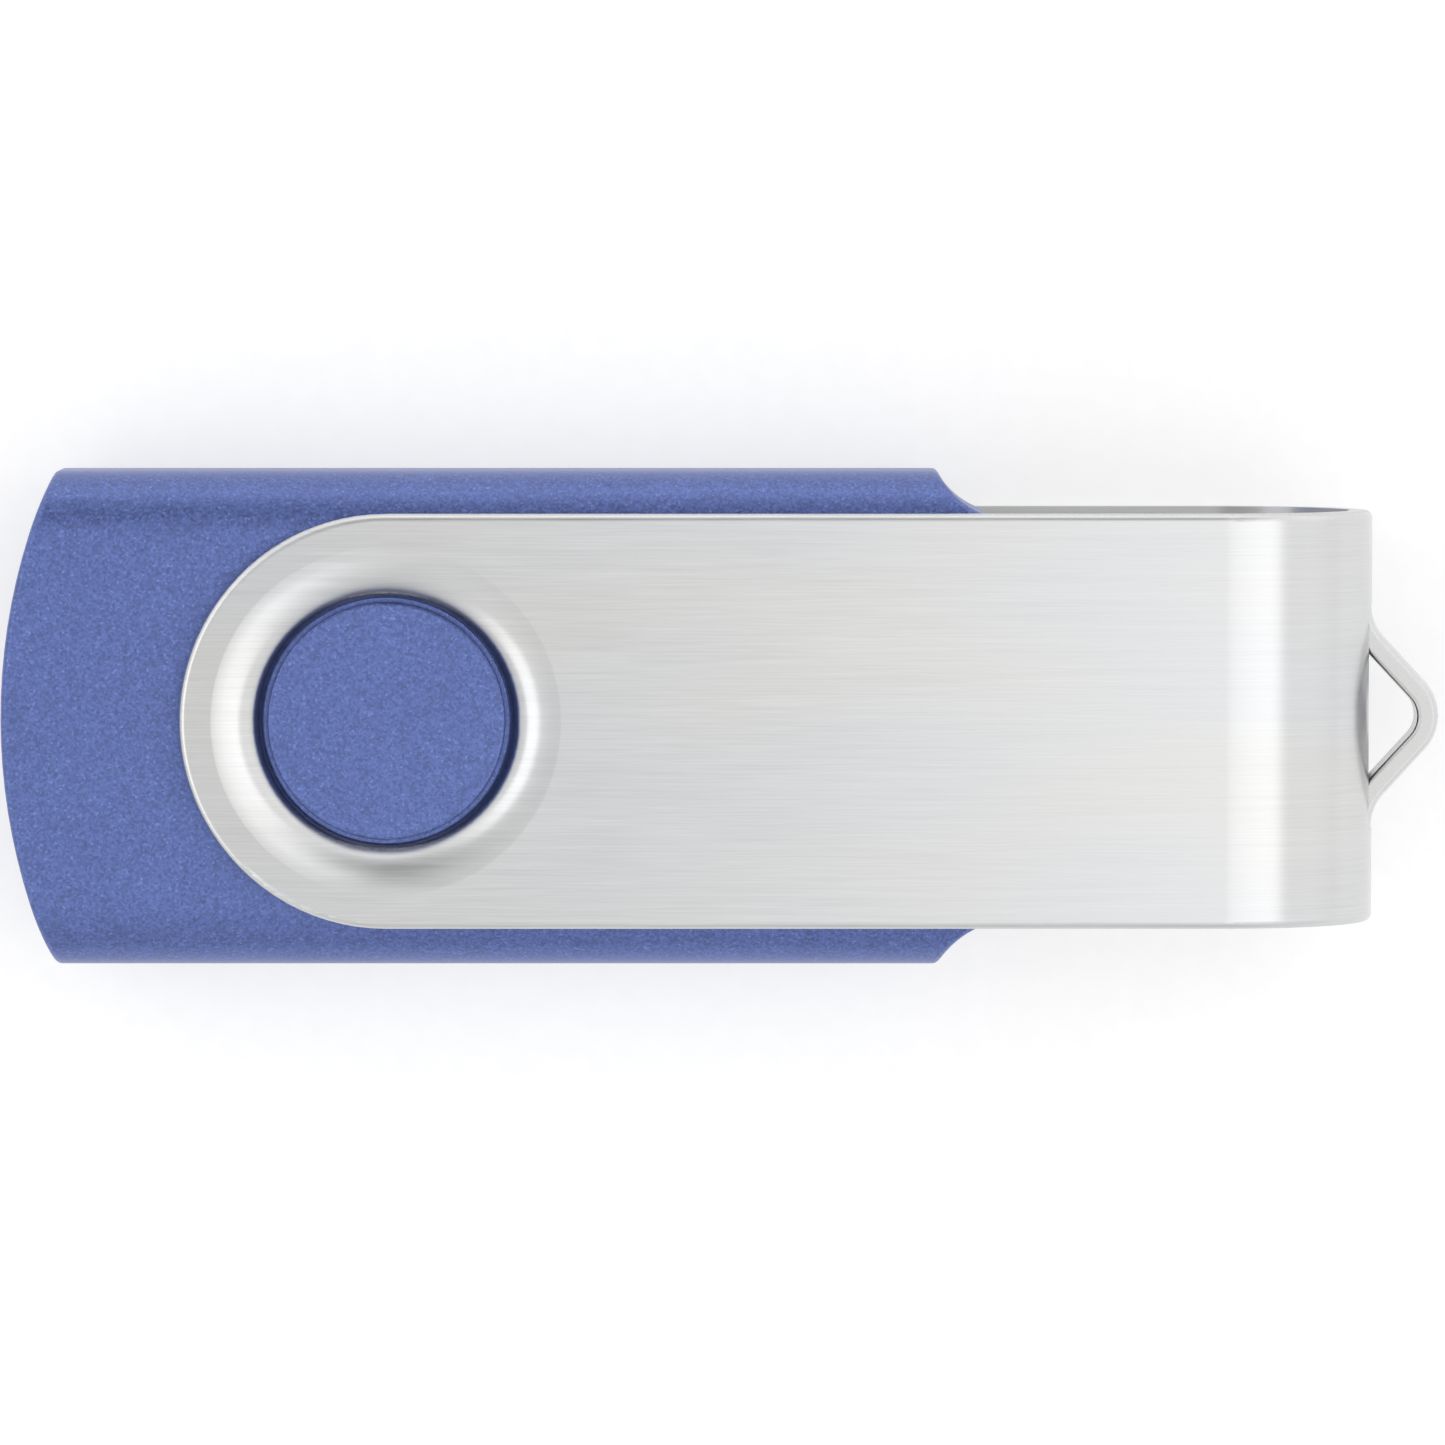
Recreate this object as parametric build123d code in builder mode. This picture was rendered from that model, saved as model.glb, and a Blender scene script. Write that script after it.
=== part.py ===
from build123d import *
import os
from math import cos, radians, sqrt, tan

# A swivel USB flash drive, lying flat with its sheet-metal clip closed over the plug.
# +X runs from the rounded rear end to the key loop, +Z is up through the thickness.
# The origin is on the surface the drive lies on, under the middle of its length and width.
# Sizes are in millimetres. Heights called "level" are counted from the middle plane.

os.makedirs("parts", exist_ok=True)

# ---- driving dimensions ----
overall_length = 57.0
rear_to_pivot = 15.25
pivot_to_bend = 39.1
pivot_to_front = 23.65
pivot_to_plug_tip = 36.4

# clip: one strip of sheet bent into a U
clip_height = 10.2
clip_width = 16.35
bend_reach = 6.05
sheet = 0.9
rolled_edge = 0.3
hole_radius = 4.93
hole_mouth_radius = 5.02
dish_radius = 6.9
dish_drop = 1.05
rim_height = 0.43
rim_land = 0.33

# key loop: a narrow strip lanced out of the bend and pushed outwards
loop_span = 9.0
loop_width = 2.3
loop_sheet = 0.77
lance_gap = 0.1
lance_step = 0.03
loop_flank_angle = 42.7
loop_root_radius = 2.3
loop_tip_radius = 1.6
loop_edge = 0.17

# body: two plastic half shells that meet on the middle plane
body_width = 19.6
rear_radius = 24.0
side_round = 2.6
shoulder_length = 1.9
neck_width = 16.2
shoulder_radius = 3.3
body_edge = 0.3
wall = 1.1
rib_embed = 0.28
leaf_gap = 0.15
seam_depth = 0.1
seam_height = 0.08
lip_inset = 0.6
lip_height = 0.55
lip_gap = 0.05

# pivot boss, one on each shell: a bearing land with a slightly smaller cap on it
boss_radius = 4.85
boss_cap_radius = 4.69
boss_cap_height = 0.55
boss_below_leaf = 0.6
boss_edge = 0.13
boss_core_radius = 3.9
boss_skin = 0.9
groove_radius = 7.15
groove_floor_wall = 0.87
pivot_pad_radius = 7.9

# USB type A plug
plug_width = 12.0
plug_height = 4.5
plug_sheet = 0.3
plug_corner = 0.64
plug_length = 19.15
plug_tip_edge = 0.18
plug_seam = 0.08
plug_opening_gap = 0.05
window_length = 2.5
window_width = 2.0
window_setback = 5.16
window_spacing = 5.7
leg_length = 2.3
leg_low = -1.5
leg_high = 0.9

insulator_gap = 0.05
tongue_setback = 0.35
insulator_length = 16.6
block_length = 3.4
tongue_front_chamfer = 0.3

contact_width = 1.0
contact_sheet = 0.2
contact_top = -0.02
contact_gap = 0.05
contact_hook = 0.7
contact_tail = 1.9
outer_contact_y = 3.5
outer_contact_setback = 1.6
inner_contact_y = 1.0
inner_contact_setback = 2.6

# circuit board
board_thickness = 0.8
board_width = 14.6
board_tab_width = 11.0
board_tab_length = 2.4
board_front_gap = 0.1
board_rear_margin = 3.3
board_corner_notch = 2.1
pad_thickness = 0.05
pad_margin = 0.1
leg_slot_gap = 0.15
via_radius = 0.15
via_places = (
    (-23.4, 3.6),
    (-22.6, 3.6),
    (-23.4, -3.6),
    (-10.6, 5.6),
    (-10.9, -3.6),
    (1.2, 3.4),
    (1.2, -3.4),
)

# flash memory chip under the board, a TSOP-48 package
flash_length = 18.4
flash_width = 12.0
flash_height = 1.0
flash_reach = 20.0
flash_x = -12.2
flash_lead_count = 24

# controller chip on the board, an LQFP-48 package
controller_size = 7.0
controller_height = 1.4
controller_reach = 9.0
controller_x = -4.6
controller_lead_count = 12

# leads common to both chips
lead_pitch = 0.5
lead_width = 0.22
lead_sheet = 0.13
lead_foot = 0.5
lead_knee = 0.4
lead_slope = 0.8
chip_standoff = 0.1
chip_edge = 0.12
pin_one_radius = 0.4
pin_one_depth = 0.06
pin_one_inset = 1.2

# crystal, 3.2 x 2.5 mm ceramic base with a welded can
crystal_place = (-12.6, 1.6)
crystal_length = 3.2
crystal_width = 2.5
crystal_base_height = 0.4
crystal_can_inset = 0.15
crystal_can_height = 0.35
crystal_can_edge = 0.12
crystal_pad_length = 1.0
crystal_pad_width = 0.8

# voltage regulator, SOT-23
regulator_place = (-16.4, -1.6)
regulator_length = 2.9
regulator_width = 1.3
regulator_height = 1.0
regulator_reach = 2.5
regulator_foot = 0.3
regulator_pitch = 0.95
regulator_lead_width = 0.4

# two-ended chip parts: length, width, height, terminal length
capacitor_size = (1.6, 0.8, 0.8, 0.35)
resistor_size = (1.0, 0.5, 0.35, 0.25)
terminal_wrap = 0.03
capacitor_places = (
    (-12.6, 4.4, 0),
    (-12.6, -1.4, 0),
    (-16.4, 1.2, 0),
    (-19.6, -1.6, 90),
    (2.3, 0, 90),
)
resistor_places = (
    (-15.3, 3.4, 0),
    (-15.3, 4.6, 0),
    (-10.2, -5.4, 0),
    (-19.8, 2.2, 90),
    (1.4, 1.6, 0),
    (1.4, -1.6, 0),
)

# solder
contact_solder_length = 0.45
leg_solder_width = 0.55
leg_solder_height = 0.4
leg_solder_length = 1.6

# locating pins and board supports
rear_pin_setback = 0.9
rear_pin_y = 6.3
middle_pin_x = -9.5
front_pin_x = 6.6
front_pin_y = 7.35
pin_radius = 0.7
pin_fit = 0.04
pin_top = 1.5
post_radius = 1.25
notch_radius = 0.9
rib_stations = (-20.5, -15.0, -4.0, 1.0)
rib_thickness = 0.9
rib_inner = 6.7
rib_outer = 8.9
tab_outer = 8.5
support_gap = 0.02
stop_rib_width = 2.4

# ---- derived places ----
mid = clip_height / 2
rear_x = -overall_length / 2
loop_tip_x = overall_length / 2
pivot_x = rear_x + rear_to_pivot
bend_x = pivot_x + pivot_to_bend
bend_centre_x = bend_x - bend_reach
front_x = pivot_x + pivot_to_front
plug_tip_x = pivot_x + pivot_to_plug_tip
plug_rear_x = plug_tip_x - plug_length

leaf_outer = clip_height / 2
leaf_inner = leaf_outer - sheet
body_half = leaf_inner - leaf_gap
cavity_half = body_half - wall
boss_top = leaf_outer - boss_below_leaf
boss_shoulder = boss_top - boss_cap_height
rim_top = leaf_outer - dish_drop
rim_bottom = rim_top - rim_height
groove_floor = rim_bottom - leaf_gap
pad_level = groove_floor - groove_floor_wall

insulator_front_x = plug_tip_x - tongue_setback
insulator_rear_x = insulator_front_x - insulator_length
block_front_x = insulator_rear_x + block_length

pad_top = contact_top - contact_sheet
board_top = pad_top - pad_thickness
board_bottom = board_top - board_thickness
lower_pad_top = board_bottom - pad_thickness
board_front_x = insulator_rear_x - board_front_gap
board_shoulder_x = board_front_x - board_tab_length
board_rear_x = rear_x + board_rear_margin

rear_pins = (board_rear_x + rear_pin_setback, rear_pin_y)
middle_pins = (middle_pin_x, board_width / 2)
front_pins = (front_pin_x, front_pin_y)
pin_places = [
    (x, side * y) for x, y in (rear_pins, middle_pins, front_pins) for side in (1, -1)
]


def at_level(level):
    """The horizontal plane at a height above the middle plane."""
    return Plane.XY.offset(mid + level)


def finish(part, name):
    """Label a finished piece and write it."""
    part.label = name
    export_step(part, f"parts/{name}.step")


# ---- swivel clip ----
with BuildPart() as swivel_clip:
    # the strip from the side: two leaves joined by a half-elliptical bend
    with BuildSketch(Plane.XZ):
        with BuildLine():
            leaf_end_x = pivot_x - clip_width / 2
            Line((leaf_end_x, mid + leaf_outer), (bend_centre_x, mid + leaf_outer))
            EllipticalCenterArc(
                (bend_centre_x, mid), bend_reach, leaf_outer, start_angle=90, arc_size=-180
            )
            Line((bend_centre_x, mid - leaf_outer), (leaf_end_x, mid - leaf_outer))
            Line((leaf_end_x, mid - leaf_outer), (leaf_end_x, mid - leaf_inner))
            Line((leaf_end_x, mid - leaf_inner), (bend_centre_x, mid - leaf_inner))
            EllipticalCenterArc(
                (bend_centre_x, mid), bend_reach - sheet, leaf_inner, start_angle=90, arc_size=-180
            )
            Line((bend_centre_x, mid + leaf_inner), (leaf_end_x, mid + leaf_inner))
            Line((leaf_end_x, mid + leaf_inner), (leaf_end_x, mid + leaf_outer))
        make_face()
    extrude(amount=clip_width / 2, both=True)

    # both leaves end in a half circle about the pivot
    with BuildSketch(Plane.XY):
        with Locations((pivot_x - clip_width / 4, 0)):
            Rectangle(clip_width / 2, clip_width)
        with Locations((pivot_x, 0)):
            Circle(clip_width / 2, mode=Mode.SUBTRACT)
    extrude(amount=clip_height, mode=Mode.SUBTRACT)

    # the outer edges are rolled over by the shearing
    flat_faces = swivel_clip.faces().filter_by(Plane.XY).sort_by(Axis.Z)
    bend_face = swivel_clip.faces().sort_by(Axis.X)[-1]
    outline = ShapeList(flat_faces[0].edges() + flat_faces[-1].edges() + bend_face.edges())
    fillet(outline.filter_by(Axis.Y, reverse=True), rolled_edge)

    # the rim of each pivot hole is pressed inwards as a round dish
    with BuildSketch(Plane.XY):
        with Locations((pivot_x, 0)):
            Circle(dish_radius)
    extrude(amount=clip_height, mode=Mode.SUBTRACT)
    for facing in (-1, 1):
        rim_plane = Plane(origin=(pivot_x, 0, mid), x_dir=(1, 0, 0), z_dir=(0, facing, 0))
        with BuildSketch(rim_plane):
            with BuildLine():
                EllipticalCenterArc(
                    (dish_radius, rim_top),
                    dish_radius - hole_mouth_radius,
                    dish_drop,
                    start_angle=90,
                    arc_size=90,
                )
                Line((hole_mouth_radius, rim_top), (hole_radius, rim_bottom + rim_land))
                Line((hole_radius, rim_bottom + rim_land), (hole_radius, rim_bottom))
                TangentArc((dish_radius, leaf_inner), (hole_radius, rim_bottom), tangent=(-1, 0))
                Line((dish_radius, leaf_inner), (dish_radius, leaf_outer))
            make_face()
        revolve(axis=Axis((pivot_x, 0, 0), (0, 0, 1)))

    # window left in the bend by the lanced strip
    with BuildSketch(Plane.YZ.offset(bend_x - 2 * sheet)):
        with Locations((0, mid)):
            Rectangle(loop_span, loop_width + 2 * lance_gap)
    extrude(amount=3 * sheet, mode=Mode.SUBTRACT)

    # the strip itself, keeping the bend's curvature across its width
    strip_x = bend_x - lance_step
    strip_curve = leaf_outer**2 / bend_reach
    loop_line_x = strip_x - loop_sheet / 2
    tip_cut = loop_tip_radius * (1 / cos(radians(loop_flank_angle)) - 1)
    loop_rise = loop_tip_x - strip_x + tip_cut
    loop_knee = loop_rise / tan(radians(loop_flank_angle))
    with BuildLine() as loop_path:
        FilletPolyline(
            (loop_line_x, -loop_span / 2, mid),
            (loop_line_x, -loop_knee, mid),
            (loop_line_x + loop_rise, 0, mid),
            (loop_line_x, loop_knee, mid),
            (loop_line_x, loop_span / 2, mid),
            radius=(loop_root_radius, loop_tip_radius, loop_root_radius),
        )
    with BuildSketch(Plane.XZ.offset(loop_span / 2)) as strip_section:
        with Locations((strip_x - strip_curve, mid)):
            Circle(strip_curve)
            Circle(strip_curve - loop_sheet, mode=Mode.SUBTRACT)
        with Locations((strip_x, mid)):
            Rectangle(clip_height / 2, loop_width, mode=Mode.INTERSECT)
        fillet(strip_section.vertices(), loop_edge)
    sweep(sections=strip_section.sketch, path=loop_path.line)

finish(swivel_clip.part, "swivel_clip")


# ---- forms that the two body shells share ----
def body_form(inset):
    """The outer form of the body, drawn in by inset on every side, before its edges are eased."""
    corner_x = rear_x + rear_radius - sqrt(rear_radius**2 - (body_width / 2) ** 2)
    shoulder_x = front_x - shoulder_length
    side = body_width / 2
    neck = neck_width / 2
    with BuildPart() as form:
        with BuildSketch(at_level(-body_half)):
            with BuildLine():
                ThreePointArc((corner_x, side), (rear_x, 0), (corner_x, -side))
                Line((corner_x, -side), (shoulder_x, -side))
                RadiusArc((shoulder_x, -side), (front_x, -neck), shoulder_radius)
                Line((front_x, -neck), (front_x, neck))
                RadiusArc((front_x, neck), (shoulder_x, side), shoulder_radius)
                Line((shoulder_x, side), (corner_x, side))
            make_face()
            if inset != 0:
                offset(amount=-inset, kind=Kind.INTERSECTION)
        extrude(amount=2 * body_half)
        with BuildSketch(Plane.YZ.offset(rear_x - wall)):
            with Locations((0, mid)):
                RectangleRounded(
                    body_width - 2 * inset, 2 * (body_half - inset), side_round - inset
                )
        extrude(amount=overall_length, mode=Mode.INTERSECT)
    return form.part


def seam_band(inner_form, outer_form, low, high):
    """A ring along the body's side wall, between two forms and two levels."""
    with BuildPart() as band:
        add(outer_form)
        add(inner_form, mode=Mode.SUBTRACT)
        with BuildSketch(at_level(low)):
            Rectangle(2 * overall_length, 2 * body_width)
        extrude(amount=high - low, mode=Mode.INTERSECT)
    return band.part


def pin_columns(radius, low, high):
    """One upright cylinder at each locating pin."""
    with BuildPart() as columns:
        with BuildSketch(at_level(low)):
            with Locations(*pin_places):
                Circle(radius)
        extrude(amount=high - low)
    return columns.part


def support_ribs(outer_y, low, high):
    """A short cross rib on both sides at every support station."""
    rib_width = outer_y - rib_inner
    places = [(x, side * (rib_inner + rib_width / 2)) for x in rib_stations for side in (1, -1)]
    with BuildPart() as ribs:
        with BuildSketch(at_level(low)):
            with Locations(*places):
                Rectangle(rib_thickness, rib_width)
        extrude(amount=high - low)
    return ribs.part


def stop_ribs(low, high):
    """Two ribs that stand behind the rear edge of the plug shell."""
    stop_x = plug_rear_x - support_gap - rib_thickness / 2
    with BuildPart() as stops:
        with BuildSketch(at_level(low)):
            with Locations((stop_x, plug_width / 2), (stop_x, -plug_width / 2)):
                Rectangle(rib_thickness, stop_rib_width)
        extrude(amount=high - low)
    return stops.part


outer_block = body_form(0)
cavity = body_form(wall)
embed_level = cavity_half + rib_embed
seam_line = seam_band(body_form(seam_depth), body_form(-seam_depth), 0, seam_height)
lip_rebate = seam_band(body_form(2 * wall), body_form(lip_inset - lip_gap), 0, lip_height + lip_gap)
lip_ring = seam_band(cavity, body_form(lip_inset), -wall, lip_height)

# mouth for the plug in the front wall
with BuildPart() as plug_mouth:
    with BuildSketch(Plane.YZ.offset(front_x - 2 * wall)):
        with Locations((0, mid)):
            RectangleRounded(
                plug_width + 2 * plug_opening_gap,
                plug_height + 2 * plug_opening_gap,
                plug_corner + plug_opening_gap,
            )
    extrude(amount=3 * wall)

# one half of the body, as the upper one: wall, pivot boss and groove
with BuildPart() as half_shell:
    add(outer_block)
    fillet(half_shell.edges().filter_by(Axis.X, reverse=True), body_edge)
    split(bisect_by=at_level(0), keep=Keep.TOP)
    add(cavity, mode=Mode.SUBTRACT)
    add(seam_line, mode=Mode.SUBTRACT)

    # inside, a round pad thickens the wall under the pivot groove
    with BuildSketch(at_level(pad_level)):
        with Locations((pivot_x, 0)):
            Circle(pivot_pad_radius)
    extrude(amount=embed_level - pad_level)

    # outside, a groove takes the dished rim of the clip, and the boss stands in its middle
    with BuildSketch(at_level(groove_floor)):
        with Locations((pivot_x, 0)):
            Circle(groove_radius)
    extrude(amount=leaf_outer - groove_floor, mode=Mode.SUBTRACT)
    with BuildSketch(at_level(groove_floor)):
        with Locations((pivot_x, 0)):
            Circle(boss_radius)
    extrude(amount=boss_shoulder - groove_floor)
    with BuildSketch(at_level(boss_shoulder)):
        with Locations((pivot_x, 0)):
            Circle(boss_cap_radius)
    extrude(amount=boss_top - boss_shoulder)
    fillet(half_shell.faces().sort_by(Axis.Z)[-1].edges(), boss_edge)

    # the boss is cored from inside so that it moulds without a sink mark
    with BuildSketch(at_level(pad_level)):
        with Locations((pivot_x, 0)):
            Circle(boss_core_radius)
    extrude(amount=boss_top - boss_skin - pad_level, mode=Mode.SUBTRACT)

lower_half = mirror(half_shell.part, about=at_level(0))

# ---- upper shell ----
rib_root = lip_height + 2 * lip_gap
upper_sockets = pin_columns(post_radius, board_top + support_gap, embed_level)
socket_holes = pin_columns(pin_radius + pin_fit, board_top, pin_top + pin_fit)
upper_ribs = support_ribs(rib_outer, rib_root, embed_level)
upper_tabs = support_ribs(tab_outer, board_top + support_gap, rib_root)
upper_stops = stop_ribs(plug_height / 4, embed_level)

with BuildPart() as upper_shell:
    add(half_shell.part)
    add(lip_rebate, mode=Mode.SUBTRACT)
    add([upper_sockets, upper_ribs, upper_tabs, upper_stops])
    add([socket_holes, plug_mouth.part], mode=Mode.SUBTRACT)

finish(upper_shell.part, "upper_shell")

# ---- lower shell ----
lower_posts = pin_columns(post_radius, -embed_level, board_bottom - support_gap)
lower_pins = pin_columns(pin_radius, board_bottom - support_gap, pin_top)
lower_ribs = support_ribs(rib_outer, -embed_level, board_bottom - support_gap)
lower_stops = stop_ribs(-embed_level, leg_low - 2 * support_gap)

with BuildPart() as lower_shell:
    add(lower_half)
    add([lip_ring, lower_posts, lower_pins, lower_ribs, lower_stops])
    add(plug_mouth.part, mode=Mode.SUBTRACT)

finish(lower_shell.part, "lower_shell")

# ---- plug shell: folded sheet, with its seam underneath ----
with BuildPart() as plug_shell:
    with BuildSketch(Plane.YZ.offset(plug_rear_x)):
        with Locations((0, mid)):
            RectangleRounded(plug_width, plug_height, plug_corner)
    extrude(amount=plug_length)
    fillet(plug_shell.faces().sort_by(Axis.X)[-1].edges(), plug_tip_edge)
    with BuildSketch(Plane.YZ.offset(plug_rear_x)):
        with Locations((0, mid)):
            RectangleRounded(
                plug_width - 2 * plug_sheet, plug_height - 2 * plug_sheet, plug_corner - plug_sheet
            )
    extrude(amount=plug_length, mode=Mode.SUBTRACT)

    # latch windows above and below
    with BuildSketch(at_level(-plug_height)):
        with Locations((plug_tip_x - window_setback - window_length / 2, 0)):
            with GridLocations(0, window_spacing, 1, 2):
                Rectangle(window_length, window_width)
    extrude(amount=2 * plug_height, mode=Mode.SUBTRACT)

    # folded seam
    with BuildSketch(at_level(-plug_height)):
        with Locations((plug_rear_x + plug_length / 2, 0)):
            Rectangle(2 * plug_length, plug_seam)
    extrude(amount=plug_height, mode=Mode.SUBTRACT)

    # a solder leg at the rear of each side wall
    for side in (1, -1):
        with BuildSketch(Plane.XZ.offset(side * (plug_width / 2 - plug_sheet))):
            with Locations((plug_rear_x + plug_sheet, mid + leg_high)):
                Rectangle(
                    leg_length + plug_sheet, leg_high - leg_low, align=(Align.MAX, Align.MAX)
                )
        extrude(amount=side * plug_sheet)

finish(plug_shell.part, "plug_shell")

# ---- contacts ----
contact_places = (
    ("vbus_contact", -outer_contact_y, outer_contact_setback),
    ("data_minus_contact", -inner_contact_y, inner_contact_setback),
    ("data_plus_contact", inner_contact_y, inner_contact_setback),
    ("ground_contact", outer_contact_y, outer_contact_setback),
)
contact_rear_x = insulator_rear_x - contact_tail

for contact_name, contact_y, setback in contact_places:
    contact_front_x = plug_tip_x - setback
    with BuildPart() as contact:
        with BuildSketch(Plane.XZ.offset(-contact_y)) as profile:
            with Locations((contact_front_x, mid + contact_top)):
                Rectangle(
                    contact_front_x - contact_rear_x, contact_sheet, align=(Align.MAX, Align.MAX)
                )
                Rectangle(contact_sheet, contact_hook, align=(Align.MAX, Align.MAX))
            front_corners = profile.vertices().group_by(Axis.X)[-1]
            fillet(front_corners.sort_by(Axis.Z)[-1], contact_sheet)
        extrude(amount=contact_width / 2, both=True)
    finish(contact.part, contact_name)

# ---- insulator: a tongue with a block at its rear that fills the plug shell ----
with BuildPart() as plug_insulator:
    insulator_width = plug_width - 2 * plug_sheet - 2 * insulator_gap
    insulator_height = plug_height - 2 * plug_sheet - 2 * insulator_gap
    with BuildSketch(Plane.YZ.offset(insulator_rear_x)):
        with Locations((0, mid)):
            RectangleRounded(insulator_width, insulator_height, plug_corner - plug_sheet)
    extrude(amount=insulator_length)
    with BuildSketch(at_level(0)):
        with Locations((block_front_x, 0)):
            Rectangle(insulator_length, plug_width, align=(Align.MIN, Align.CENTER))
    extrude(amount=plug_height, mode=Mode.SUBTRACT)
    tongue_tip = plug_insulator.faces().sort_by(Axis.X)[-1]
    chamfer(tongue_tip.edges().sort_by(Axis.Z)[-1], tongue_front_chamfer)

    # a groove for each contact, which runs on as a tunnel through the block
    for _, contact_y, setback in contact_places:
        with BuildSketch(Plane.XZ.offset(-contact_y)):
            with Locations((plug_tip_x - setback + contact_gap, mid)):
                Rectangle(
                    insulator_length,
                    contact_sheet - contact_top + contact_gap,
                    align=(Align.MAX, Align.MAX),
                )
                Rectangle(
                    contact_sheet + 2 * contact_gap,
                    contact_hook - contact_top + contact_gap,
                    align=(Align.MAX, Align.MAX),
                )
        extrude(amount=contact_width / 2 + contact_gap, both=True, mode=Mode.SUBTRACT)

finish(plug_insulator.part, "plug_insulator")

# ---- circuit board ----
with BuildPart() as circuit_board:
    with BuildSketch(at_level(board_bottom)):
        with Locations((board_rear_x, 0)):
            Rectangle(
                board_shoulder_x - board_rear_x, board_width, align=(Align.MIN, Align.CENTER)
            )
            Rectangle(board_front_x - board_rear_x, board_tab_width, align=(Align.MIN, Align.CENTER))
        # notches for the locating pins
        for x, y in pin_places[:2]:
            with Locations((board_rear_x, y)):
                Rectangle(2 * board_corner_notch, 2 * board_corner_notch, mode=Mode.SUBTRACT)
        with Locations(*pin_places[2:4]):
            Circle(notch_radius, mode=Mode.SUBTRACT)
        # slots for the solder legs of the plug shell
        slot_length = leg_length + leg_slot_gap
        with Locations((board_shoulder_x - slot_length / 2 + leg_slot_gap, 0)):
            with GridLocations(0, plug_width - plug_sheet, 1, 2):
                Rectangle(slot_length, plug_sheet + 2 * leg_slot_gap, mode=Mode.SUBTRACT)
        with Locations(*via_places):
            Circle(via_radius, mode=Mode.SUBTRACT)
    extrude(amount=board_thickness)

finish(circuit_board.part, "circuit_board")

# ---- packaged chips ----
def chip_body(x, y, low, length, width, height):
    """A moulded chip package with eased edges and a round pin-one mark on its outer face."""
    outer_level = low + height
    with BuildPart() as body:
        with BuildSketch(at_level(low)):
            with Locations((x, y)):
                Rectangle(length, width)
        extrude(amount=height)
        chamfer(body.edges(), chip_edge)
        with BuildSketch(at_level(outer_level - pin_one_depth)):
            with Locations((x - length / 2 + pin_one_inset, y - width / 2 + pin_one_inset)):
                Circle(pin_one_radius)
        extrude(amount=pin_one_depth, mode=Mode.SUBTRACT)
    return body.part


def lead_row(origin, outwards, across, run, foot, exit_height, count, pitch, width):
    """A row of bent leads from a chip's edge down to the board, evenly spaced along "across"."""
    sheet_slope = lead_sheet * lead_slope
    toe = run - foot
    knee = toe * lead_knee
    profile = [
        (0, exit_height),
        (knee, exit_height),
        (toe - sheet_slope, 0),
        (run, 0),
        (run, lead_sheet),
        (toe, lead_sheet),
        (knee + sheet_slope, exit_height + lead_sheet),
        (0, exit_height + lead_sheet),
    ]
    row_plane = Plane(origin=origin, x_dir=outwards, z_dir=across)
    first = -(count - 1) * pitch / 2 - width / 2
    with BuildPart() as row:
        for index in range(count):
            with BuildSketch(row_plane.offset(first + index * pitch)):
                with BuildLine():
                    Polyline(*profile, close=True)
                make_face()
            extrude(amount=width)
    return row.part


# flash memory, hanging below the board with its lead rows at both ends
upright_flash = chip_body(
    flash_x, 0, chip_standoff - lower_pad_top, flash_length, flash_width, flash_height
)
with BuildPart() as flash_chip:
    add(mirror(upright_flash, about=at_level(0)))

finish(flash_chip.part, "flash_chip")

flash_lead_rows = [
    lead_row(
        origin=(flash_x + end * flash_length / 2, 0, mid + lower_pad_top),
        outwards=(end, 0, 0),
        across=(0, end, 0),
        run=(flash_reach - flash_length) / 2,
        foot=lead_foot,
        exit_height=chip_standoff + flash_height / 2,
        count=flash_lead_count,
        pitch=lead_pitch,
        width=lead_width,
    )
    for end in (1, -1)
]
with BuildPart() as flash_chip_leads:
    add(flash_lead_rows)

finish(flash_chip_leads.part, "flash_chip_leads")

# controller, on top of the board with leads on all four sides
controller_body = chip_body(
    controller_x, 0, pad_top + chip_standoff, controller_size, controller_size, controller_height
)
with BuildPart() as controller_chip:
    add(controller_body)

finish(controller_chip.part, "controller_chip")

controller_lead_rows = [
    lead_row(
        origin=(controller_x + out_x * controller_size / 2, out_y * controller_size / 2, mid + pad_top),
        outwards=(out_x, out_y, 0),
        across=(out_y, -out_x, 0),
        run=(controller_reach - controller_size) / 2,
        foot=lead_foot,
        exit_height=chip_standoff + controller_height / 2,
        count=controller_lead_count,
        pitch=lead_pitch,
        width=lead_width,
    )
    for out_x, out_y in ((1, 0), (-1, 0), (0, 1), (0, -1))
]
with BuildPart() as controller_leads:
    add(controller_lead_rows)

finish(controller_leads.part, "controller_leads")

# ---- crystal ----
with BuildPart() as crystal_base:
    with BuildSketch(at_level(pad_top)):
        with Locations(crystal_place):
            Rectangle(crystal_length, crystal_width)
    extrude(amount=crystal_base_height)
    fillet(crystal_base.edges().filter_by(Axis.Z), crystal_can_edge)

finish(crystal_base.part, "crystal_base")

with BuildPart() as crystal_can:
    with BuildSketch(at_level(pad_top + crystal_base_height)):
        with Locations(crystal_place):
            Rectangle(crystal_length - 2 * crystal_can_inset, crystal_width - 2 * crystal_can_inset)
    extrude(amount=crystal_can_height)
    fillet(crystal_can.edges().filter_by(Axis.Z), 2 * crystal_can_edge)
    fillet(crystal_can.faces().sort_by(Axis.Z)[-1].edges(), crystal_can_edge)

finish(crystal_can.part, "crystal_can")

# ---- voltage regulator ----
with BuildPart() as voltage_regulator:
    with BuildSketch(at_level(pad_top + chip_standoff)):
        with Locations(regulator_place):
            Rectangle(regulator_length, regulator_width)
    extrude(amount=regulator_height)
    chamfer(voltage_regulator.edges(), chip_edge)

finish(voltage_regulator.part, "voltage_regulator")

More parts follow.
